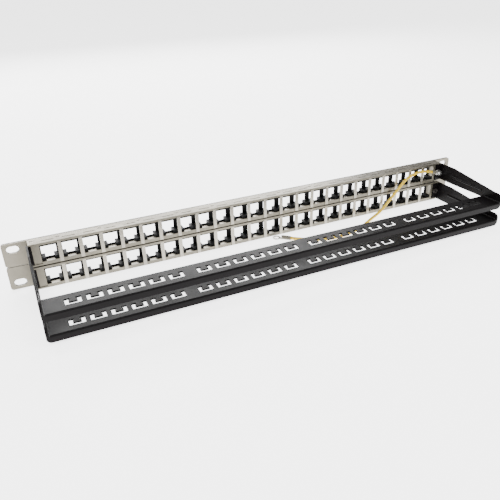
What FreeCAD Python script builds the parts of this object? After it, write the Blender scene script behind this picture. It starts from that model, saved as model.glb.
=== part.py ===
import FreeCAD, Part

import math
import os
import re

import Sketcher

from FreeCAD import Placement, Rotation, Vector

# A 48-port patch panel for a 19 inch rack, one rack unit high, made of two half-unit panels
# stacked one above the other.  Each half has a black front plate, a bright sheet-metal frame
# with strips between its ports, four moulded six-port modules and a black cable bracket.
# An earth wire with a ring lug on each end is bolted to the upper half.
#
# Frame: +X along the panel, -Y the front face, +Z up.  The origin is the middle of the
# footprint, at the height of the surface that the panel stands on.  Sizes are millimetres.

SIZES = {
    # 19 inch rack interface, from EIA-310
    "rack_width": 482.6,
    "panel_height": 43.7,
    "slot_span": 465.1,
    "slot_rise": 31.75,
    "slot_length": 10.3,
    "slot_width": 6.8,
    # the two half-unit panels
    "total_depth": 100.2,
    "half_height": 21.475,
    "lower_base": 0.0,
    "upper_base": 22.225,
    "front_sheet": 1.3,
    "frame_sheet": 1.4,
    "frame_depth": 9.2,
    "frame_half": 220.3,
    "corner_radius": 2.5,
    # the 24 ports of a row
    "port_pitch": 17.78,
    "row_ports": 24,
    "module_ports": 6,
    "module_gap": 0.1,
    "module_plate": 1.1,
    "aperture_width": 12.8,
    "aperture_low": 5.975,
    "aperture_top": 13.175,
    "notch_width": 7.3,
    "notch_low": 2.675,
    "block_depth": 8.9,
    "window_web": 2.5,
    "window_low": 1.9,
    "window_top": 17.5,
    # the frame's rear face
    "lip_top": 3.275,
    "rim_drop": 1.2,
    "divider_width": 3.2,
    "divider_sheet": 0.8,
    "divider_low": 0.6,
    "divider_top": 20.0,
    "flange_overhang": 1.0,
    "margin_recess": 0.8,
    "margin_inner": 211.76,
    "long_slot": 10.4,
    "short_slot": 3.3,
    "flange_slot": 1.0,
    "long_slot_y": 6.0,
    "short_slot_y": 3.4,
    "end_slot_x": 216.9,
    # the cable bracket
    "bracket_sheet": 1.5,
    "arm_outer": 222.1,
    "right_foot": 7.4,
    "left_foot": 3.9,
    "foot_inset": 2.0,
    "lower_bar": 8.6,
    "upper_bar": 27.2,
    "bar_width": 23.0,
    "bar_lip": 6.0,
    "arm_level": 30.0,
    "arm_slope_end": 88.0,
    "arm_top_drop": 1.0,
    "lower_arm_low": 0.8,
    "upper_arm_low": 25.0,
    "lower_arm_top": 14.5,
    "upper_arm_top": 35.7,
    "lower_arm_corner": 4.2,
    "upper_arm_corner": 6.0,
    "lip_corner": 4.0,
    "bend_inner": 1.5,
    "bend_outer": 3.0,
    "lip_bend": 1.4,
    "rib_start": 27.1,
    "rib_end": 71.4,
    "rib_height": 10.5,
    "rib_radius": 1.6,
    "rib_proud": 0.9,
    # the tie cut-outs in the bracket's bar
    "tie_pitch": 16.2,
    "tie_group": 104.8,
    "tie_width": 12.4,
    "tie_start": 81.3,
    "tie_end": 90.0,
    "tongue_neck": 4.4,
    "tongue_head": 6.6,
    "neck_length": 2.4,
    "tongue_length": 5.4,
    # fasteners
    "screw_x": 217.0,
    "screw_radius": 1.45,
    "thread_radius": 1.5,
    "clear_radius": 1.6,
    "screw_head": 2.75,
    "head_height": 1.8,
    "recess_long": 3.2,
    "recess_wide": 0.8,
    "recess_deep": 1.0,
    "screw_end": 5.0,
    "clinch_radius": 3.1,
    "clinch_height": 1.6,
    # earth wire and its lugs
    "nut_flats": 5.5,
    "nut_height": 2.4,
    "washer_radius": 3.0,
    "washer_sheet": 0.7,
    "stud_end": 15.4,
    "lug_turn": 15.0,
    "lug_sheet": 0.8,
    "lug_radius": 3.3,
    "lug_neck": 3.0,
    "barrel_radius": 1.65,
    "barrel_start": 213.4,
    "barrel_end": 209.2,
    "sleeve_radius": 2.0,
    "sleeve_bore": 1.7,
    "sleeve_length": 5.0,
    "free_lug_radius": 4.0,
    "free_lug_hole": 2.15,
    "free_barrel_near": 5.2,
    "free_barrel_end": 9.6,
    "free_sleeve_start": 6.0,
    "free_sleeve_end": 15.0,
    "free_lug_x": -9.6,
    "free_lug_y": -32.0,
    "free_axis_z": 2.05,
    "wire_diameter": 3.0,
    "wire_lead": 6.0,
}

# Middle line of the earth wire between its two lugs, hand-chosen.
WIRE_ROUTE = [
    (-196.5, -35.2, 38.30),
    (-184.5, -34.0, 39.30),
    (-170.5, -33.6, 35.60),
    (-160.0, -33.4, 24.60),
    (-149.5, -33.2, 13.80),
    (-141.5, -32.8, 5.60),
    (-132.5, -30.2, 1.90),
    (-120.0, -23.8, 1.70),
    (-98.0, -10.6, 1.70),
    (-72.0, -2.4, 1.70),
    (-47.0, -4.4, 1.80),
    (-27.0, -15.5, 2.05),
]

SIDES = (1, -1)
ROWS = ("lower", "upper")

doc = FreeCAD.newDocument("patch_panel")
sheet = doc.addObject("Spreadsheet::Sheet", "Sizes")
derived = []
nodes = {}


# ---------------------------------------------------------------- helpers

def fill_sheet():
    """Write every driving dimension into the spreadsheet, with its name as alias."""
    for row, (name, value) in enumerate(SIZES.items(), start=1):
        sheet.set(f"A{row}", name)
        sheet.set(f"B{row}", str(value))
        sheet.setAlias(f"B{row}", name)
    doc.recompute()


def cells(text):
    """Turn plain size names into references to the spreadsheet's cells."""
    return re.sub(r"[a-z][a-z_]+\b(?!\()", lambda word: "Sizes." + word.group(0), text)


def derive(name, text):
    """Add a row to the spreadsheet that is worked out from the other sizes."""
    row = len(SIZES) + len(derived) + 1
    derived.append(name)
    sheet.set(f"A{row}", name)
    sheet.set(f"B{row}", f"={text}")
    sheet.setAlias(f"B{row}", name)


def bind(obj, **expressions):
    """Bind properties to sizes.  x, y and z stand for the placement's position."""
    for key, text in expressions.items():
        prop = f".Placement.Base.{key}" if key in "xyz" else key
        obj.setExpression(prop, cells(text))


def size(name):
    return SIZES[name]


def mirrored(side, low, high):
    """The span from low to high on the +X side, or its mirror image on the -X side."""
    return (low, high) if side > 0 else (f"-({high})", f"-({low})")


def centred(middle, width):
    return (f"{middle} - ({width}) / 2", f"{middle} + ({width}) / 2")


def box(name, x, y, z):
    obj = doc.addObject("Part::Box", name)
    bind(obj, Length=f"({x[1]}) - ({x[0]})", x=x[0])
    bind(obj, Width=f"({y[1]}) - ({y[0]})", y=y[0])
    bind(obj, Height=f"({z[1]}) - ({z[0]})", z=z[0])
    return obj


def rod(name, radius, x, y, z):
    """A cylinder whose axis runs along Y, over the span y."""
    obj = doc.addObject("Part::Cylinder", name)
    obj.Placement = Placement(Vector(), Rotation(Vector(1, 0, 0), -90))
    bind(obj, Radius=radius, Height=f"({y[1]}) - ({y[0]})", x=x, y=y[0], z=z)
    return obj


def along_x(name, radius, x, y, z):
    """A cylinder whose axis runs along X, over the span x."""
    obj = doc.addObject("Part::Cylinder", name)
    obj.Placement = Placement(Vector(), Rotation(Vector(0, 1, 0), 90))
    bind(obj, Radius=radius, Height=f"({x[1]}) - ({x[0]})", x=x[0], y=y, z=z)
    return obj


def fuse(name, pieces):
    obj = doc.addObject("Part::MultiFuse", name)
    obj.Shapes = pieces
    obj.Refine = True
    return obj


def group(name, pieces):
    obj = doc.addObject("Part::Compound", name)
    obj.Links = pieces
    return obj


def cut(name, base, tool):
    obj = doc.addObject("Part::Cut", name)
    obj.Base = base
    obj.Tool = tool
    obj.Refine = True
    return obj


def fillet(name, base, radius, wanted):
    """Round the straight edges of base for which wanted(middle, direction) is true."""
    doc.recompute()
    edges = []
    for index, edge in enumerate(base.Shape.Edges, start=1):
        if isinstance(edge.Curve, Part.Line) and wanted(edge.CenterOfMass, edge.tangentAt(edge.FirstParameter)):
            edges.append((index, size(radius), size(radius)))
    if not edges:
        raise RuntimeError(f"{name}: no edge to round")
    obj = doc.addObject("Part::Fillet", name)
    obj.Base = base
    obj.Edges = edges
    return obj


def near(value, target, reach=0.02):
    return abs(value - target) < reach


FRONT = "-total_depth / 2"
EAR_BACK = f"{FRONT} + front_sheet + frame_sheet"
FRAME_BACK = f"{EAR_BACK} + frame_depth"
MARGIN_BACK = f"{FRAME_BACK} - margin_recess"
MARGIN_FRONT = f"{MARGIN_BACK} - frame_sheet"
FOOT_BACK = f"{MARGIN_BACK} + bracket_sheet"


def behind(distance):
    """A Y position, given as the distance behind the ears' rear face."""
    return f"{EAR_BACK} + {distance}"


def fixing_height(row):
    """Height of the middle of a half, where its bracket's screw is."""
    return f"{row}_base + half_height / 2"


def slot_height(row):
    """Height of the rack slot of a half: the two are slot_rise apart about the middle."""
    sign = "+" if row == "upper" else "-"
    return f"panel_height / 2 {sign} slot_rise / 2"


def rack_slots(name, row, y):
    """Tools for the two obround rack slots, one in each ear."""
    height = slot_height(row)
    tools = []
    for side in SIDES:
        middle = f"{side} * slot_span / 2"
        straight = "slot_length - slot_width"
        tools.append(box(f"{name}_slot", centred(middle, straight), y, centred(height, "slot_width")))
        for end in SIDES:
            centre = f"{middle} + {end} * ({straight}) / 2"
            tools.append(rod(f"{name}_slot_end", "slot_width / 2", centre, y, height))
    return tools


def outer_corners(middle, direction):
    return near(abs(direction.y), 1) and near(abs(middle.x), size("rack_width") / 2)


def finish(obj, label):
    """Give a finished sub-part its node name."""
    obj.Label = label
    nodes[label] = obj


# ---------------------------------------------------------------- front plate

def front_plate(row):
    """Black steel front: the ears, and a long window for each six-port module."""
    base = f"{row}_base"
    y = (FRONT, f"{FRONT} + front_sheet")
    plate = box(f"{row}_front", centred("0", "rack_width"), y, (base, f"{base} + half_height"))
    tools = rack_slots(f"{row}_front", row, y)
    for module in range(4):
        middle = f"({module} - 1.5) * module_ports * port_pitch"
        width = "module_ports * port_pitch - window_web"
        z = (f"{base} + window_low", f"{base} + window_top")
        tools.append(box(f"{row}_window", centred(middle, width), y, z))
    pierced = cut(f"{row}_front_pierced", plate, fuse(f"{row}_front_tools", tools))
    rounded = fillet(f"{row}_front_plate", pierced, "corner_radius", outer_corners)
    finish(rounded, f"{row}_front_plate")


# ---------------------------------------------------------------- frame

def frame(row):
    """Bright folded sheet: ears, top and bottom flanges, rear margins, lip and rim."""
    base = f"{row}_base"
    top = f"{base} + half_height"
    ear_y = (f"{FRONT} + front_sheet", EAR_BACK)
    flange_y = (f"{FRONT} + front_sheet", FRAME_BACK)
    top_y = (flange_y[0], f"{FRAME_BACK} + flange_overhang")
    back_y = (f"{FRAME_BACK} - frame_sheet", FRAME_BACK)
    length = centred("0", "2 * frame_half")
    inside = centred("0", "2 * margin_inner")
    parts = [
        box(f"{row}_flange_low", length, flange_y, (base, f"{base} + frame_sheet")),
        box(f"{row}_flange_top", length, top_y, (f"{top} - frame_sheet", top)),
        box(f"{row}_rear_lip", inside, back_y, (base, f"{base} + lip_top")),
        box(f"{row}_rear_rim", inside, back_y, (f"{top} - frame_sheet - rim_drop", top)),
    ]
    row_half = "row_ports * port_pitch / 2 + module_gap"
    for side in SIDES:
        ear_x = mirrored(side, row_half, "rack_width / 2")
        margin_x = mirrored(side, "margin_inner", "frame_half")
        margin_y = (MARGIN_FRONT, MARGIN_BACK)
        parts.append(box(f"{row}_ear", ear_x, ear_y, (base, top)))
        parts.append(box(f"{row}_margin", margin_x, margin_y, (base, top)))
    folded = fuse(f"{row}_frame_folded", parts)
    tools = rack_slots(f"{row}_frame", row, ear_y)
    tools += flange_slots(row, f"{top} - 2 * frame_sheet", f"{top} + frame_sheet")
    through = (f"{MARGIN_FRONT} - frame_sheet", f"{MARGIN_BACK} + frame_sheet")
    tools.append(rod(f"{row}_frame_hole", "clear_radius", "-screw_x", through, fixing_height(row)))
    pierced = cut(f"{row}_frame_pierced", folded, fuse(f"{row}_frame_tools", tools))
    rounded = fillet(f"{row}_frame_rounded", pierced, "corner_radius", outer_corners)
    finish(rounded, f"{row}_frame")


def flange_slots(row, low, high):
    """Tools for the slots in the top flange: a long one per port, short ones between."""
    tools = []
    z = (low, high)
    long_y = centred(behind("long_slot_y"), "flange_slot")
    short_y = centred(behind("short_slot_y"), "flange_slot")
    for port in range(int(size("row_ports"))):
        middle = f"({port} - 11.5) * port_pitch"
        tools.append(box(f"{row}_long_slot", centred(middle, "long_slot"), long_y, z))
    for line in range(1, int(size("row_ports")), 2):
        middle = f"({line} - 12) * port_pitch"
        tools.append(box(f"{row}_short_slot", centred(middle, "short_slot"), short_y, z))
    for side in SIDES:
        middle = f"{side} * end_slot_x"
        tools.append(box(f"{row}_end_slot", centred(middle, "short_slot"), short_y, z))
    return tools


def port_dividers(row):
    """The 23 bright strips on the frame's rear face, one between each two ports."""
    base = f"{row}_base"
    y = (FRAME_BACK, f"{FRAME_BACK} + divider_sheet")
    z = (f"{base} + divider_low", f"{base} + divider_top")
    strips = []
    for line in range(1, int(size("row_ports"))):
        middle = f"({line} - 12) * port_pitch"
        strips.append(box(f"{row}_divider", centred(middle, "divider_width"), y, z))
    finish(group(f"{row}_dividers", strips), f"{row}_port_dividers")


# ---------------------------------------------------------------- port modules

def port_module(row, module):
    """Black moulded six-port module: a plate with six apertures and blocks behind it."""
    name = f"{row}_module_{module + 1}"
    base = f"{row}_base"
    ports = int(size("module_ports"))
    first = module * ports
    limit = "margin_inner - module_gap"
    start = f"({first} - 12) * port_pitch + module_gap / 2"
    end = f"({first + ports} - 12) * port_pitch - module_gap / 2"
    floor = f"{base} + frame_sheet + module_gap"
    ceiling = f"{base} + half_height - frame_sheet - module_gap"
    plate_y = (f"{FRONT} + front_sheet", f"{FRONT} + front_sheet + module_plate")
    block_y = (plate_y[0], f"{FRONT} + front_sheet + block_depth")
    parts = [box(f"{name}_plate", (start, end), plate_y, (floor, ceiling))]
    tools = []
    for port in range(first, first + ports):
        middle = f"({port} - 11.5) * port_pitch"
        left = start if port == first else f"({port} - 12) * port_pitch"
        right = end if port == first + ports - 1 else f"({port} - 11) * port_pitch"
        low = (f"max(-({limit}); {left})", f"{middle} - notch_width / 2")
        high = (f"{middle} + notch_width / 2", f"min({limit}; {right})")
        block_z = (floor, f"{base} + aperture_low")
        parts.append(box(f"{name}_block", low, block_y, block_z))
        parts.append(box(f"{name}_block", high, block_y, block_z))
        aperture_z = (f"{base} + aperture_low", f"{base} + aperture_top")
        notch_z = (f"{base} + notch_low", f"{base} + aperture_low")
        tools.append(box(f"{name}_aperture", centred(middle, "aperture_width"), plate_y, aperture_z))
        tools.append(box(f"{name}_notch", centred(middle, "notch_width"), plate_y, notch_z))
    solid = fuse(f"{name}_solid", parts)
    finish(cut(name, solid, fuse(f"{name}_tools", tools)), f"{row}_port_module_{module + 1}")


# ---------------------------------------------------------------- cable bracket

def arm_sketch(body, row):
    """Side outline of an arm, in the YZ plane, with every corner bound to the sizes."""
    rear = "total_depth / 2"
    bar_low = f"{row}_bar - bracket_sheet"
    low_end = f"{row}_arm_low"
    top_end = f"{row}_base + half_height - arm_top_drop"
    corners = [
        (MARGIN_BACK, low_end),
        (behind("arm_level"), low_end),
        (f"{rear} - bar_width", bar_low),
        (rear, bar_low),
        (rear, f"{row}_arm_top"),
        (behind("arm_slope_end"), f"{row}_arm_top"),
        (behind("arm_level"), top_end),
        (MARGIN_BACK, top_end),
    ]
    names = [(f"{body.Name}_along_{n}", f"{body.Name}_up_{n}") for n in "abcdefgh"]
    sketch = body.newObject("Sketcher::SketchObject", f"{body.Name}_outline")
    plane = next(p for p in body.Origin.OriginFeatures if p.Role == "YZ_Plane")
    sketch.AttachmentSupport = [(plane, "")]
    sketch.MapMode = "FlatFace"
    for (along, up), (along_text, up_text) in zip(names, corners):
        derive(along, along_text)
        derive(up, up_text)
    doc.recompute()
    points = [Vector(float(sheet.get(along)), float(sheet.get(up))) for along, up in names]
    for index, point in enumerate(points):
        sketch.addGeometry(Part.LineSegment(point, points[(index + 1) % len(points)]))
    for index, (along, up) in enumerate(names):
        following = (index + 1) % len(names)
        sketch.addConstraint(Sketcher.Constraint("Coincident", index, 2, following, 1))
        fixed_x = sketch.addConstraint(Sketcher.Constraint("DistanceX", -1, 1, index, 1, points[index].x))
        fixed_y = sketch.addConstraint(Sketcher.Constraint("DistanceY", -1, 1, index, 1, points[index].y))
        sketch.setExpression(f"Constraints[{fixed_x}]", cells(along))
        sketch.setExpression(f"Constraints[{fixed_y}]", cells(up))
    return sketch


def arm(row, side):
    """One upright side arm, padded outwards from its inner face."""
    body = doc.addObject("PartDesign::Body", f"{row}_arm_{'left' if side > 0 else 'right'}")
    sketch = arm_sketch(body, row)
    pad = body.newObject("PartDesign::Pad", f"{body.Name}_pad")
    pad.Profile = sketch
    bind(pad, Length="bracket_sheet")
    inner = "arm_outer - bracket_sheet" if side > 0 else "-arm_outer"
    bind(body, x=inner)
    return body


def rib_tools(row, side, offset, name):
    """A round-ended bar along the arm, whose axis lies offset from the arm's outer face."""
    x = f"{side} * ({offset})"
    z = f"{row}_base + rib_height"
    bar = rod(name, "rib_radius", x, (behind("rib_start"), behind("rib_end")), z)
    ends = []
    for place in ("rib_start", "rib_end"):
        ball = doc.addObject("Part::Sphere", f"{name}_end")
        bind(ball, Radius="rib_radius", x=x, y=behind(place), z=z)
        ends.append(ball)
    return [bar] + ends


def tie_centres():
    """Middle of each of the 24 cut-outs: four groups of six."""
    for tie_set in range(4):
        for tie in range(6):
            yield f"({tie_set} - 1.5) * tie_group + ({tie} - 2.5) * tie_pitch"


def cable_bracket(row):
    """Black folded bracket: a bar with tie cut-outs, two side arms and a foot on each.

    Only the right foot is wide enough for a screw."""
    base = f"{row}_base"
    rear = "total_depth / 2"
    bar_z = (f"{row}_bar - bracket_sheet", f"{row}_bar")
    bar_y = (f"{rear} - bar_width", rear)
    lip_y = (f"{rear} - bracket_sheet", rear)
    length = centred("0", "2 * arm_outer")
    bar = box(f"{row}_bar_plate", length, bar_y, bar_z)
    lip = box(f"{row}_bar_lip", length, lip_y, (f"{row}_bar - bar_lip", bar_z[1]))
    windows, tongues = tie_shapes(row, bar_z)
    parts = [cut(f"{row}_bar_pierced", bar, group(f"{row}_tie_windows", windows)), lip] + tongues
    foot_z = (f"{base} + foot_inset", f"{base} + half_height - foot_inset")
    grooves = []
    for side in SIDES:
        foot_width = "left_foot" if side > 0 else "right_foot"
        foot_x = mirrored(side, f"arm_outer - {foot_width}", "arm_outer")
        parts.append(arm(row, side))
        parts.append(box(f"{row}_foot", foot_x, (MARGIN_BACK, FOOT_BACK), foot_z))
        proud = "arm_outer - bracket_sheet + rib_radius - rib_proud"
        parts += rib_tools(row, side, proud, f"{row}_rib")
        hollow = "arm_outer + rib_radius - rib_proud"
        grooves += rib_tools(row, side, hollow, f"{row}_groove")
        grooves.append(outer_bend(row, side, bar_y, bar_z[0]))
    grooves.append(lip_fold(row))
    hole_y = (MARGIN_BACK, f"{FOOT_BACK} + bracket_sheet")
    grooves.append(rod(f"{row}_foot_hole", "clear_radius", "-screw_x", hole_y, fixing_height(row)))
    folded = fuse(f"{row}_bracket_folded", parts)
    pierced = cut(f"{row}_bracket_pierced", folded, fuse(f"{row}_bracket_tools", grooves))
    finish(round_bracket(row, pierced), f"{row}_cable_bracket")


def outer_bend(row, side, y, z):
    """Tool that rounds the outside of the bend between the bar and an arm."""
    x = mirrored(side, "arm_outer - bend_outer", "arm_outer")
    along = (y[0], f"{y[1]} - bracket_sheet")
    corner = box(f"{row}_bend_corner", x, along, (z, f"{z} + bend_outer"))
    axis = f"{side} * (arm_outer - bend_outer)"
    return cut(f"{row}_bend_tool", corner, rod(f"{row}_bend", "bend_outer", axis, along, f"{z} + bend_outer"))


def lip_fold(row):
    """Tool that rounds the outside of the fold between the bar and its lip."""
    x = centred("0", "2 * (arm_outer - bracket_sheet - bend_inner)")
    y = ("total_depth / 2 - lip_bend", "total_depth / 2")
    z = (f"{row}_bar - lip_bend", f"{row}_bar")
    corner = box(f"{row}_lip_corner", x, y, z)
    return cut(f"{row}_lip_tool", corner, along_x(f"{row}_lip_fold", "lip_bend", x, y[0], z[0]))


def tie_shapes(row, bar_z):
    """Windows cut from the bar, and the T-shaped tongues that stand in them."""
    windows = []
    tongues = []
    edge = behind("tie_start")
    for middle in tie_centres():
        window_y = (edge, behind("tie_end"))
        neck_y = (f"{edge} - neck_length", f"{edge} + neck_length")
        head_y = (f"{edge} + neck_length", f"{edge} + tongue_length")
        windows.append(box(f"{row}_tie_window", centred(middle, "tie_width"), window_y, bar_z))
        tongues.append(box(f"{row}_tie_neck", centred(middle, "tongue_neck"), neck_y, bar_z))
        tongues.append(box(f"{row}_tie_head", centred(middle, "tongue_head"), head_y, bar_z))
    return windows, tongues


def round_bracket(row, base):
    """Round the inner folds, and the arms' and lip's corners at the rear."""
    bar_top = size(f"{row}_bar")
    rear = size("total_depth") / 2
    outer = size("arm_outer")
    inner = outer - size("bracket_sheet")

    def rear_corner(middle, direction):
        top = size(f"{row}_arm_top")
        return near(abs(direction.x), 1) and near(middle.y, rear) and near(middle.z, top)

    def inner_fold(middle, direction):
        return near(abs(direction.y), 1) and near(abs(middle.x), inner) and near(middle.z, bar_top)

    def lip_corner(middle, direction):
        low = bar_top - size("bar_lip")
        return near(abs(direction.y), 1) and near(abs(middle.x), outer) and near(middle.z, low)

    rounded = fillet(f"{row}_bracket_corners", base, f"{row}_arm_corner", rear_corner)
    rounded = fillet(f"{row}_bracket_inner", rounded, "bend_inner", inner_fold)
    return fillet(f"{row}_bracket_ends", rounded, "lip_corner", lip_corner)


# ---------------------------------------------------------------- fasteners

def cross_recess(name, x, y, z):
    """Tool for a cross recess, sunk into a screw head over the span y."""
    level = box(f"{name}_cross", centred(x, "recess_long"), y, centred(z, "recess_wide"))
    upright = box(f"{name}_cross", centred(x, "recess_wide"), y, centred(z, "recess_long"))
    return fuse(f"{name}_recess", [level, upright])


def bracket_screw():
    """Screw from behind, through the lower bracket's right foot and the margin."""
    z = fixing_height("lower")
    head_y = (FOOT_BACK, f"{FOOT_BACK} + head_height")
    head = rod("bracket_screw_head", "screw_head", "-screw_x", head_y, z)
    shank = rod("bracket_screw_shank", "screw_radius", "-screw_x", (behind("screw_end"), FOOT_BACK), z)
    recess = cross_recess("bracket_screw", "-screw_x", (f"{head_y[1]} - recess_deep", head_y[1]), z)
    blank = fuse("bracket_screw_blank", [head, shank])
    finish(cut("bracket_screw_solid", blank, recess), "lower_bracket_screw")


def clinch_nut():
    """Round nut pressed on the inside of the margin, for the bracket's screw."""
    z = fixing_height("lower")
    y = (f"{MARGIN_FRONT} - clinch_height", MARGIN_FRONT)
    disc = rod("clinch_disc", "clinch_radius", "-screw_x", y, z)
    bore = rod("clinch_bore", "thread_radius", "-screw_x", y, z)
    finish(cut("clinch_solid", disc, bore), "lower_clinch_nut")


# ---------------------------------------------------------------- earth wire

EARTH_X = "-screw_x"
EARTH_Z = fixing_height("upper")
LUG_BACK = f"{FOOT_BACK} + lug_sheet"
WASHER_BACK = f"{LUG_BACK} + washer_sheet"
NUT_BACK = f"{WASHER_BACK} + nut_height"
BARREL_Y = f"{FOOT_BACK} + barrel_radius"


def earth_screw():
    """Screw from inside the frame, through margin and foot: its tail is the earth stud."""
    head_y = (f"{MARGIN_FRONT} - head_height", MARGIN_FRONT)
    head = rod("earth_head", "screw_head", EARTH_X, head_y, EARTH_Z)
    shank = rod("earth_shank", "screw_radius", EARTH_X, (MARGIN_FRONT, behind("stud_end")), EARTH_Z)
    finish(fuse("earth_stud", [head, shank]), "earth_screw")


def earth_nut():
    """Hexagon nut with two flats upright."""
    y = (WASHER_BACK, NUT_BACK)
    prism = doc.addObject("Part::Prism", "earth_hexagon")
    prism.Polygon = 6
    prism.Placement = Placement(Vector(), Rotation(Vector(0, 1, 0), 30) * Rotation(Vector(1, 0, 0), -90))
    bind(prism, Circumradius="nut_flats / sqrt(3)", Height=f"({y[1]}) - ({y[0]})", x=EARTH_X, y=y[0], z=EARTH_Z)
    bore = rod("earth_nut_bore", "thread_radius", EARTH_X, y, EARTH_Z)
    finish(cut("earth_nut_solid", prism, bore), "earth_nut")


def earth_lock_washer():
    """Split spring washer under the nut."""
    y = (LUG_BACK, WASHER_BACK)
    disc = rod("washer_disc", "washer_radius", EARTH_X, y, EARTH_Z)
    bore = rod("washer_bore", "clear_radius", EARTH_X, y, EARTH_Z)
    split_z = (EARTH_Z, f"{EARTH_Z} + 2 * washer_radius")
    split = box("washer_split", centred(EARTH_X, "washer_sheet"), y, split_z)
    finish(cut("washer_solid", disc, fuse("washer_tools", [bore, split])), "earth_lock_washer")


def lug_turn():
    """Turn about the earth screw that points the fixed lug's barrel up a little."""
    doc.recompute()
    centre = doc.getObject("earth_shank").Placement.Base
    return Placement(Vector(), Rotation(Vector(0, 1, 0), -size("lug_turn")), centre)


def fixed_ring_lug():
    """Ring lug under the earth nut, with its barrel lying along the panel."""
    y = (FOOT_BACK, LUG_BACK)
    ring = rod("fixed_ring", "lug_radius", EARTH_X, y, EARTH_Z)
    neck = box("fixed_neck", (EARTH_X, "-barrel_start + barrel_radius"), y, centred(EARTH_Z, "lug_neck"))
    barrel = along_x("fixed_barrel", "barrel_radius", ("-barrel_start", "-barrel_end"), BARREL_Y, EARTH_Z)
    bore = rod("fixed_ring_bore", "clear_radius", EARTH_X, y, EARTH_Z)
    lug = cut("fixed_lug", fuse("fixed_blank", [ring, neck, barrel]), bore)
    lug.Placement = lug_turn()
    finish(lug, "fixed_ring_lug")


def fixed_lug_sleeve():
    """Insulating sleeve over the end of the barrel and the start of the wire."""
    x = centred("-barrel_end", "sleeve_length")
    skin = along_x("fixed_sleeve_skin", "sleeve_radius", x, BARREL_Y, EARTH_Z)
    sleeve = cut("fixed_sleeve", skin, along_x("fixed_sleeve_bore", "sleeve_bore", x, BARREL_Y, EARTH_Z))
    sleeve.Placement = lug_turn()
    finish(sleeve, "fixed_lug_sleeve")


def free_direction():
    """Level direction from the free lug's eye along its barrel to the wire."""
    eye = Vector(size("free_lug_x"), size("free_lug_y"), size("free_axis_z"))
    return (Vector(*WIRE_ROUTE[-1]) - eye).normalize()


def free_tube(radius, start, end):
    """A solid cylinder on the free lug's axis, from start to end along it."""
    eye = Vector(size("free_lug_x"), size("free_lug_y"), size("free_axis_z"))
    aim = free_direction()
    return Part.makeCylinder(radius, end - start, eye + aim * start, aim)


def free_ring_lug():
    """Ring lug on the wire's free end, lying flat on the surface."""
    aim = free_direction()
    eye = Vector(size("free_lug_x"), size("free_lug_y"), 0)
    thick = size("lug_sheet")
    ring = Part.makeCylinder(size("free_lug_radius"), thick, eye)
    neck = Part.makeBox(size("free_barrel_near") + 1, size("lug_neck"), thick, Vector(0, -size("lug_neck") / 2, 0))
    neck.Placement = Placement(eye, Rotation(Vector(0, 0, 1), math.degrees(math.atan2(aim.y, aim.x))))
    barrel = free_tube(size("barrel_radius"), size("free_barrel_near"), size("free_barrel_end"))
    blank = ring.fuse([neck, barrel]).removeSplitter()
    obj = doc.addObject("Part::Feature", "free_lug")
    obj.Shape = blank.cut(Part.makeCylinder(size("free_lug_hole"), thick, eye))
    finish(obj, "free_ring_lug")


def free_lug_sleeve():
    """Grey sleeve over the free lug's barrel and the end of the wire."""
    start = size("free_sleeve_start")
    end = size("free_sleeve_end")
    obj = doc.addObject("Part::Feature", "free_sleeve")
    skin = free_tube(size("sleeve_radius"), start, end)
    obj.Shape = skin.cut(free_tube(size("sleeve_bore"), start, end))
    finish(obj, "free_lug_sleeve")


def wire_points():
    """The route, with straight ends that run squarely out of the two barrels."""
    turn = lug_turn()
    barrel = doc.getObject("fixed_barrel").Placement.Base
    reach = size("barrel_start") - size("barrel_end")
    start = turn.multVec(barrel + Vector(reach, 0, 0))
    lead = turn.multVec(barrel + Vector(reach + size("wire_lead"), 0, 0))
    eye = Vector(size("free_lug_x"), size("free_lug_y"), size("free_axis_z"))
    end = eye + free_direction() * size("free_barrel_end")
    return [start, lead] + [Vector(*point) for point in WIRE_ROUTE] + [end]


def earth_wire():
    """A tube along straight runs joined by tangent arcs, each as large as its runs allow."""
    points = wire_points()
    print("wire ends", points[:2], points[-1])
    radius = size("wire_diameter") / 2
    edges = []
    start = points[0]
    for before, corner, after in zip(points, points[1:], points[2:]):
        arriving = (corner - before).normalize()
        leaving = (after - corner).normalize()
        half_turn = arriving.getAngle(leaving) / 2
        shorter = min((corner - before).Length, (after - corner).Length)
        arc_radius = 0.45 * shorter / math.tan(half_turn)
        reach = 0.45 * shorter
        entry = corner - arriving * reach
        departure = corner + leaving * reach
        inward = (leaving - arriving).normalize()
        middle = corner + inward * (arc_radius / math.cos(half_turn) - arc_radius)
        print(f"wire corner: turn {math.degrees(2 * half_turn):5.1f} deg, radius {arc_radius:6.1f} mm")
        edges.append(Part.LineSegment(start, entry).toShape())
        edges.append(Part.Arc(entry, middle, departure).toShape())
        start = departure
    edges.append(Part.LineSegment(start, points[-1]).toShape())
    path = Part.Wire(edges)
    heading = (points[1] - points[0]).normalize()
    section = Part.Wire(Part.makeCircle(radius, points[0], heading))
    obj = doc.addObject("Part::Feature", "wire")
    obj.Shape = path.makePipeShell([section], True, False)
    expected = math.pi * radius ** 2 * path.Length
    print(f"wire length {path.Length:.1f} mm, volume {obj.Shape.Volume:.0f} of {expected:.0f} mm3")
    finish(obj, "earth_wire")


# ---------------------------------------------------------------- build, check, export

def build():
    fill_sheet()
    for row in ROWS:
        front_plate(row)
        frame(row)
        port_dividers(row)
        for module in range(4):
            port_module(row, module)
        cable_bracket(row)
    bracket_screw()
    clinch_nut()
    earth_screw()
    earth_nut()
    earth_lock_washer()
    fixed_ring_lug()
    fixed_lug_sleeve()
    free_ring_lug()
    free_lug_sleeve()
    earth_wire()
    doc.recompute()


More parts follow.
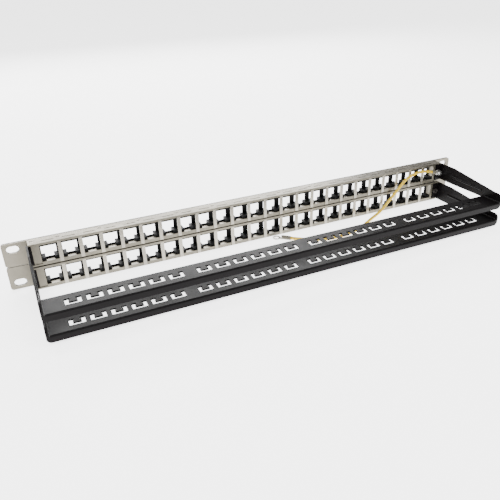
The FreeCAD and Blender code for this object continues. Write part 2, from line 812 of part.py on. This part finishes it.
def check():
    """Stop before anything is written if an object failed or a sub-part isn't sound."""
    for obj in doc.Objects:
        if "Invalid" in obj.State or "Error" in obj.State:
            raise RuntimeError(f"{obj.Label} failed: {obj.State}")
    for label, obj in nodes.items():
        if obj.Shape.isNull() or not obj.Shape.isValid() or not obj.Shape.Solids:
            raise RuntimeError(f"{label} has no valid solid")


def export():
    os.makedirs("parts", exist_ok=True)
    for label, obj in nodes.items():
        obj.Shape.exportStep(f"parts/{label}.step")
        print(f"{label}: {len(obj.Shape.Solids)} solids, {obj.Shape.Volume:.0f} mm3")


build()
check()
export()
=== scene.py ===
import math

import bpy

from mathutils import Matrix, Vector


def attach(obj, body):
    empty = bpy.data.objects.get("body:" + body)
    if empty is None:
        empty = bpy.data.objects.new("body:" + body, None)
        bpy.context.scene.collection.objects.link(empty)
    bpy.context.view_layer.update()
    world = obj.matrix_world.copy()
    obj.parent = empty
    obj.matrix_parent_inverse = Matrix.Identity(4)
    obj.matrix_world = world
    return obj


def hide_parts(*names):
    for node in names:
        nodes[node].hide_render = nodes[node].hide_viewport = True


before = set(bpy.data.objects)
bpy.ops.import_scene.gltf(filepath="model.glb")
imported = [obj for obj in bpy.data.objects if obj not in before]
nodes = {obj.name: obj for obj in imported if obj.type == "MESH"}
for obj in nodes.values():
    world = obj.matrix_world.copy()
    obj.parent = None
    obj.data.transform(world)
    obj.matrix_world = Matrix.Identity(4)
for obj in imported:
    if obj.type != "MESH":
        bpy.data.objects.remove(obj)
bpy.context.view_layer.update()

# Looks for a 19 inch patch panel of two stacked half-unit rows.  Every CAD node keeps its
# shape and gets a procedural material; the earth wire is replaced by a smooth spline.
# Everything is in metres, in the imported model's frame: +X along the panel, +Z up.

ROWS = ("lower", "upper")

CAMERA_PLACE = (0.21625, 0.40639, 0.24679)
CAMERA_TURN = (62.188, 1.323, 155.206)
CAMERA_LENS = 39.10
SENSOR_WIDTH = 36

FLOOR_WIDTH = 30
FLOOR_GLOW = 3.0
WORLD_STRENGTH = 0.4
CENTRE = (0, 0, 0)

# The earth wire's route from the fixed lug's barrel to the free lug's.
WIRE_POINTS = [
    (-0.20947, -0.03585, 0.03498),
    (-0.20367, -0.03585, 0.03653),
    (-0.1965, -0.0352, 0.0383),
    (-0.1845, -0.0340, 0.0393),
    (-0.1705, -0.0336, 0.0356),
    (-0.1600, -0.0334, 0.0246),
    (-0.1495, -0.0332, 0.0138),
    (-0.1415, -0.0328, 0.0056),
    (-0.1325, -0.0302, 0.0019),
    (-0.1200, -0.0238, 0.0017),
    (-0.0980, -0.0106, 0.0017),
    (-0.0720, -0.0024, 0.0017),
    (-0.0470, -0.0044, 0.0018),
    (-0.0270, -0.0155, 0.00205),
    (-0.01657, -0.02539, 0.00205),
]
WIRE_DIAMETER = 0.003


# ---------------------------------------------------------------- material tools

class Nodes:
    """A new material, with short ways to add and join its shader nodes."""

    def __init__(self, name):
        self.material = bpy.data.materials.new(name)
        self.material.use_nodes = True
        self.tree = self.material.node_tree
        self.tree.nodes.clear()
        self.shader = self.add("ShaderNodeBsdfPrincipled")
        output = self.add("ShaderNodeOutputMaterial")
        self.link(self.shader.outputs["BSDF"], output.inputs["Surface"])
        self.place = self.add("ShaderNodeTexCoord").outputs["Object"]

    def add(self, kind, **settings):
        node = self.tree.nodes.new(kind)
        for key, value in settings.items():
            setattr(node, key, value)
        return node

    def link(self, output, socket):
        self.tree.links.new(output, socket)

    def stretched(self, scale):
        """Object coordinates, scaled by three factors."""
        mapping = self.add("ShaderNodeMapping")
        mapping.inputs["Scale"].default_value = scale
        self.link(self.place, mapping.inputs["Vector"])
        return mapping.outputs["Vector"]

    def noise(self, scale, detail=3.0, roughness=0.5, stretch=(1, 1, 1)):
        """A noise field; scale is in features per metre."""
        node = self.add("ShaderNodeTexNoise")
        node.inputs["Scale"].default_value = scale
        node.inputs["Detail"].default_value = detail
        node.inputs["Roughness"].default_value = roughness
        self.link(self.stretched(stretch), node.inputs["Vector"])
        return node.outputs["Fac"]

    def spread(self, value, low, high, start=0.3, end=0.7):
        """Map the range start..end of value to low..high."""
        node = self.add("ShaderNodeMapRange")
        node.inputs["From Min"].default_value = start
        node.inputs["From Max"].default_value = end
        node.inputs["To Min"].default_value = low
        node.inputs["To Max"].default_value = high
        self.link(value, node.inputs["Value"])
        return node.outputs["Result"]

    def between(self, factor, first, second):
        """Blend two colours; each is a colour or another node's output."""
        node = self.add("ShaderNodeMix", data_type="RGBA")
        self.link(factor, node.inputs["Factor"])
        for socket, value in (("A", first), ("B", second)):
            target = next(s for s in node.inputs if s.name == socket and s.type == "RGBA")
            if isinstance(value, bpy.types.NodeSocket):
                self.link(value, target)
            else:
                target.default_value = (*value, 1)
        return next(s for s in node.outputs if s.type == "RGBA")

    def bump(self, height, distance, strength=1.0):
        """Relief of that height in metres, chained on to any bump added before."""
        node = self.add("ShaderNodeBump")
        node.inputs["Strength"].default_value = strength
        node.inputs["Distance"].default_value = distance
        self.link(height, node.inputs["Height"])
        before = self.shader.inputs["Normal"].links
        if before:
            self.link(before[0].from_socket, node.inputs["Normal"])
        self.link(node.outputs["Normal"], self.shader.inputs["Normal"])

    def colour(self, output):
        self.link(output, self.shader.inputs["Base Color"])

    def roughness(self, output):
        self.link(output, self.shader.inputs["Roughness"])

    def fixed(self, **values):
        """Set sockets of the shader; an underscore stands for a space in a socket's name."""
        for key, value in values.items():
            self.shader.inputs[key.replace("_", " ")].default_value = value


def sheet_metal(name, light, dark, metallic=0.75, rough=0.34):
    """Plated sheet: rolling grain along the panel, faint blotches and small scratches."""
    m = Nodes(name)
    blotch = m.noise(28, 4, 0.6)
    grain = m.noise(260, 4, 0.7, (0.12, 1, 1))
    fine = m.noise(2600, 2, 0.5)
    tone = m.between(m.spread(blotch, 0, 1), dark, light)
    grained = m.between(m.spread(grain, 0, 0.35), tone, light)
    m.colour(grained)
    m.roughness(m.spread(grain, rough - 0.05, rough + 0.09))
    m.bump(grain, 0.00004, 0.5)
    m.bump(fine, 0.00001, 0.4)
    m.fixed(Metallic=metallic)
    return m.material


def powder_coat(name, light, dark, rough=0.36, peel=0.00006, gloss=0.3):
    """Black powder coat: orange-peel relief of height peel, a finer grit and faint dust."""
    m = Nodes(name)
    peel_noise = m.noise(900, 2, 0.5)
    grit = m.noise(4200, 2, 0.6)
    dust = m.noise(45, 5, 0.65)
    m.colour(m.between(m.spread(dust, 0, 1), dark, light))
    m.roughness(m.spread(dust, rough - 0.04, rough + 0.06))
    m.bump(peel_noise, peel, 0.5)
    m.bump(grit, 0.00001, 0.5)
    m.fixed(Specular_IOR_Level=gloss)
    return m.material


def moulded(name, light, dark, rough=0.5):
    """Moulded plastic with a fine spark-eroded grain."""
    m = Nodes(name)
    grain = m.noise(3200, 3, 0.6)
    cloud = m.noise(60, 3, 0.5)
    m.colour(m.between(m.spread(cloud, 0, 1), dark, light))
    m.roughness(m.spread(grain, rough - 0.06, rough + 0.08))
    m.bump(grain, 0.00002, 0.5)
    m.fixed(Specular_IOR_Level=0.12)
    return m.material


def plated(name, light, dark, rough):
    """Bright plating on a turned or stamped small part."""
    m = Nodes(name)
    marks = m.noise(1400, 3, 0.6)
    cloud = m.noise(220, 3, 0.5)
    m.colour(m.between(m.spread(cloud, 0, 1), dark, light))
    m.roughness(m.spread(marks, rough - 0.05, rough + 0.1))
    m.bump(marks, 0.00002, 0.4)
    m.fixed(Metallic=0.95)
    return m.material


def vinyl(name, light, dark, rough=0.38):
    """Extruded vinyl insulation: slight waxiness, handling marks and a soft undulation."""
    m = Nodes(name)
    cloud = m.noise(120, 3, 0.5)
    lumps = m.noise(420, 2, 0.5)
    m.colour(m.between(m.spread(cloud, 0, 1), dark, light))
    m.roughness(m.spread(lumps, rough - 0.05, rough + 0.1))
    m.bump(lumps, 0.00005, 0.4)
    m.fixed(Subsurface_Weight=0.08, Subsurface_Scale=0.001, Coat_Weight=0.1)
    return m.material


# ---------------------------------------------------------------- CAD nodes

def dress(name, material):
    """Give a CAD node its material."""
    node = nodes[name]
    node.data.materials.clear()
    node.data.materials.append(material)


def dress_panel():
    """Make the panel's materials and give one to every CAD node but the wire."""
    zinc = sheet_metal("zinc_sheet", (0.21, 0.192, 0.152), (0.12, 0.11, 0.088))
    strip = sheet_metal("zinc_strip", (0.40, 0.375, 0.315), (0.22, 0.20, 0.17), rough=0.24)
    front = powder_coat("front_coat", (0.004, 0.004, 0.0042), (0.002, 0.002, 0.0022), gloss=0.1)
    black = powder_coat("bracket_coat", (0.0042, 0.0033, 0.0037), (0.0022, 0.0017, 0.0019), gloss=0.08)
    plastic = moulded("module_plastic", (0.0028, 0.0028, 0.0030), (0.0012, 0.0012, 0.0013))
    screw = powder_coat("screw_coat", (0.03, 0.026, 0.025), (0.015, 0.013, 0.012), 0.32, 0.00002)
    nickel = plated("nickel", (0.78, 0.77, 0.75), (0.62, 0.61, 0.59), 0.2)
    tin = plated("tin", (0.66, 0.64, 0.60), (0.50, 0.48, 0.44), 0.34)
    sleeve = moulded("sleeve_vinyl", (0.15, 0.14, 0.11), (0.10, 0.09, 0.07), 0.45)
    for row in ROWS:
        dress(f"{row}_front_plate", front)
        dress(f"{row}_frame", zinc)
        dress(f"{row}_port_dividers", strip)
        dress(f"{row}_cable_bracket", black)
        for module in range(1, 5):
            dress(f"{row}_port_module_{module}", plastic)
    dress("lower_bracket_screw", screw)
    for name in ("lower_clinch_nut", "earth_screw", "earth_nut", "earth_lock_washer"):
        dress(name, nickel)
    for name in ("fixed_ring_lug", "free_ring_lug"):
        dress(name, tin)
    for name in ("fixed_lug_sleeve", "free_lug_sleeve"):
        dress(name, sleeve)


# ---------------------------------------------------------------- earth wire

def earth_wire():
    """The yellow earth wire: one smooth spline along its route."""
    curve = bpy.data.curves.new("earth_wire_spline", "CURVE")
    curve.dimensions = "3D"
    curve.resolution_u = 12
    curve.bevel_depth = WIRE_DIAMETER / 2
    curve.bevel_resolution = 6
    spline = curve.splines.new("NURBS")
    spline.points.add(len(WIRE_POINTS) - 1)
    for point, place in zip(spline.points, WIRE_POINTS):
        point.co = (*place, 1)
    spline.order_u = 3
    spline.use_endpoint_u = True
    wire = bpy.data.objects.new("earth_wire_spline", curve)
    bpy.context.scene.collection.objects.link(wire)
    curve.materials.append(vinyl("wire_vinyl", (0.60, 0.40, 0.002), (0.50, 0.32, 0.002)))
    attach(wire, "root")
    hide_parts("earth_wire")


# ---------------------------------------------------------------- stage

def camera():
    """The main view, from behind and above the panel's left end."""
    data = bpy.data.cameras.new("camera")
    data.lens = CAMERA_LENS
    data.sensor_width = SENSOR_WIDTH
    data.clip_start = 0.01
    view = bpy.data.objects.new("camera", data)
    view.location = CAMERA_PLACE
    view.rotation_euler = [math.radians(angle) for angle in CAMERA_TURN]
    bpy.context.scene.collection.objects.link(view)
    bpy.context.scene.camera = view


def floor():
    """A pale, slightly glowing ground that reads as a white studio sweep."""
    bpy.ops.mesh.primitive_plane_add(size=FLOOR_WIDTH)
    plane = bpy.context.object
    plane.name = "floor"
    m = Nodes("pale_floor")
    m.colour(m.between(m.spread(m.noise(6), 0, 1), (0.93, 0.93, 0.93), (0.95, 0.95, 0.95)))
    m.fixed(Roughness=0.7, Emission_Color=(1, 1, 1, 1), Emission_Strength=FLOOR_GLOW)
    plane.data.materials.append(m.material)


def light(name, place, target, size, power):
    """A rectangular area light at place, aimed at target; size is in metres, power in watts."""
    data = bpy.data.lights.new(name, "AREA")
    data.shape = "RECTANGLE"
    data.size, data.size_y = size
    data.energy = power
    lamp = bpy.data.objects.new(name, data)
    lamp.location = place
    aim = [t - p for t, p in zip(target, place)]
    lamp.rotation_euler = Vector(aim).to_track_quat("-Z", "Y").to_euler()
    bpy.context.scene.collection.objects.link(lamp)


def lights():
    """Dim white surroundings, a key and a fill from behind, a low light in front and one above."""
    world = bpy.data.worlds.new("studio")
    world.use_nodes = True
    background = world.node_tree.nodes["Background"]
    background.inputs["Color"].default_value = (1, 1, 1, 1)
    background.inputs["Strength"].default_value = WORLD_STRENGTH
    bpy.context.scene.world = world
    light("key", (0.5, 0.9, 1.1), CENTRE, (0.9, 0.9), 14)
    light("fill", (-0.9, 0.7, 0.7), CENTRE, (0.8, 0.8), 5)
    light("rim", (0, -1.3, 0.75), CENTRE, (2.0, 0.5), 40)
    light("top", (0, 0.1, 1.4), CENTRE, (1.4, 1.0), 14)


camera()
earth_wire()
dress_panel()
floor()
lights()
